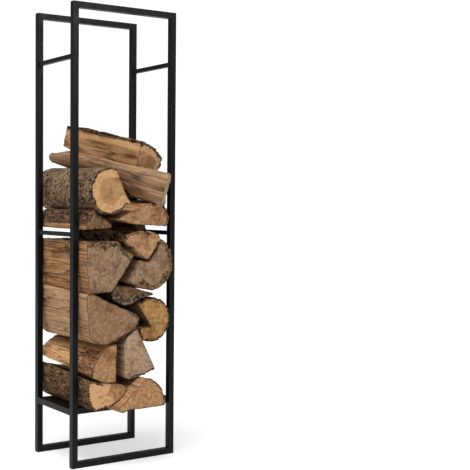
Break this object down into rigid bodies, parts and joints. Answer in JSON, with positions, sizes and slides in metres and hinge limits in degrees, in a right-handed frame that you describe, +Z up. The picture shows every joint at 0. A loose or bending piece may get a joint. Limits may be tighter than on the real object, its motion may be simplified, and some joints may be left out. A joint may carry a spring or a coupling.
{
  "type": "firewood log rack",
  "caption": "Tall black steel firewood rack: upright frames of mitred square tube tied by crossbars and a low folded tray, stacked with split logs",
  "frame": {"origin": "on the floor under the middle of the rack", "axes": "+Z up, -Y the front that the log ends face, X across the rack"},
  "size_m": [0.4, 0.43, 1.5],
  "materials": {
    "steel": "satin black powder coat",
    "split_wood": "rough split and sawn wood, light tan",
    "weathered_wood": "rough split wood, weathered grey tan",
    "bark": "rough furrowed bark with sawn wood ends"
  },
  "bodies": {
    "rack": {"front_left_post": "steel", "front_right_post": "steel", "front_top_rail": "steel", "front_bottom_rail": "steel", "rear_left_post": "steel", "rear_right_post": "steel", "rear_top_rail": "steel", "rear_bottom_rail": "steel", "upper_left_bar": "steel", "upper_right_bar": "steel", "middle_left_bar": "steel", "middle_right_bar": "steel", "shelf_tray": "steel"},
    "log_bottom_quarter": {"log_bottom_quarter": "split_wood"},
    "log_bottom_half": {"log_bottom_half": "split_wood"},
    "log_low_quarter": {"log_low_quarter": "split_wood"},
    "log_grey_wedge": {"log_grey_wedge": "weathered_wood"},
    "log_right_round": {"log_right_round": "bark"},
    "log_left_slab": {"log_left_slab": "split_wood"},
    "log_small_half": {"log_small_half": "bark"},
    "log_left_block": {"log_left_block": "weathered_wood"},
    "log_right_half": {"log_right_half": "weathered_wood"},
    "log_dark_bark": {"log_dark_bark": "bark"},
    "log_inner_wedge": {"log_inner_wedge": "bark"},
    "log_left_triangle": {"log_left_triangle": "bark"},
    "log_right_wedge": {"log_right_wedge": "split_wood"},
    "log_big_round": {"log_big_round": "bark"},
    "log_inner_support": {"log_inner_support": "bark"},
    "log_cross_split": {"log_cross_split": "weathered_wood"},
    "log_top_half": {"log_top_half": "split_wood"}
  },
  "joints": [
    {"name": "bottom_quarter_draw", "type": "slide", "parent": "rack", "child": "log_bottom_quarter", "axis": [0, 1, 0], "range_m": [0, 0.36]},
    {"name": "bottom_half_draw", "type": "slide", "parent": "rack", "child": "log_bottom_half", "axis": [0, -1, 0], "range_m": [0, 0.37]},
    {"name": "low_quarter_draw", "type": "slide", "parent": "rack", "child": "log_low_quarter", "axis": [0, -1, 0], "range_m": [0, 0.35]},
    {"name": "grey_wedge_draw", "type": "slide", "parent": "rack", "child": "log_grey_wedge", "axis": [0, -1, 0], "range_m": [0, 0.35]},
    {"name": "right_round_draw", "type": "slide", "parent": "rack", "child": "log_right_round", "axis": [0, -1, 0], "range_m": [0, 0.39]},
    {"name": "left_slab_draw", "type": "slide", "parent": "rack", "child": "log_left_slab", "axis": [0, 0.9999, 0.014], "range_m": [0, 0.355]},
    {"name": "small_half_draw", "type": "slide", "parent": "rack", "child": "log_small_half", "axis": [0, -1, 0], "range_m": [0, 0.33]},
    {"name": "left_block_draw", "type": "slide", "parent": "rack", "child": "log_left_block", "axis": [0, -0.9999, -0.014], "range_m": [0, 0.355]},
    {"name": "right_half_draw", "type": "slide", "parent": "rack", "child": "log_right_half", "axis": [0, -1, 0], "range_m": [0, 0.355]},
    {"name": "dark_bark_draw", "type": "slide", "parent": "rack", "child": "log_dark_bark", "axis": [0, 0.9986, 0.0523], "range_m": [0, 0.35]},
    {"name": "inner_wedge_draw", "type": "slide", "parent": "rack", "child": "log_inner_wedge", "axis": [0, 0.9986, 0.0523], "range_m": [0, 0.215]},
    {"name": "left_triangle_draw", "type": "slide", "parent": "rack", "child": "log_left_triangle", "axis": [0, -1, 0], "range_m": [0, 0.345]},
    {"name": "right_wedge_draw", "type": "slide", "parent": "rack", "child": "log_right_wedge", "axis": [0, 0.9986, 0.0523], "range_m": [0, 0.35]},
    {"name": "big_round_draw", "type": "slide", "parent": "rack", "child": "log_big_round", "axis": [0, -0.9998, -0.0175], "range_m": [0, 0.4]},
    {"name": "inner_support_draw", "type": "slide", "parent": "rack", "child": "log_inner_support", "axis": [0, 0.9986, 0.0523], "range_m": [0, 0.245]},
    {"name": "cross_split_draw", "type": "slide", "parent": "rack", "child": "log_cross_split", "axis": [0.5256, -0.8093, -0.2622], "range_m": [0, 0.448]},
    {"name": "top_half_draw", "type": "slide", "parent": "rack", "child": "log_top_half", "axis": [-0.487, 0.8435, 0.2267], "range_m": [0, 0.365]}
  ]
}
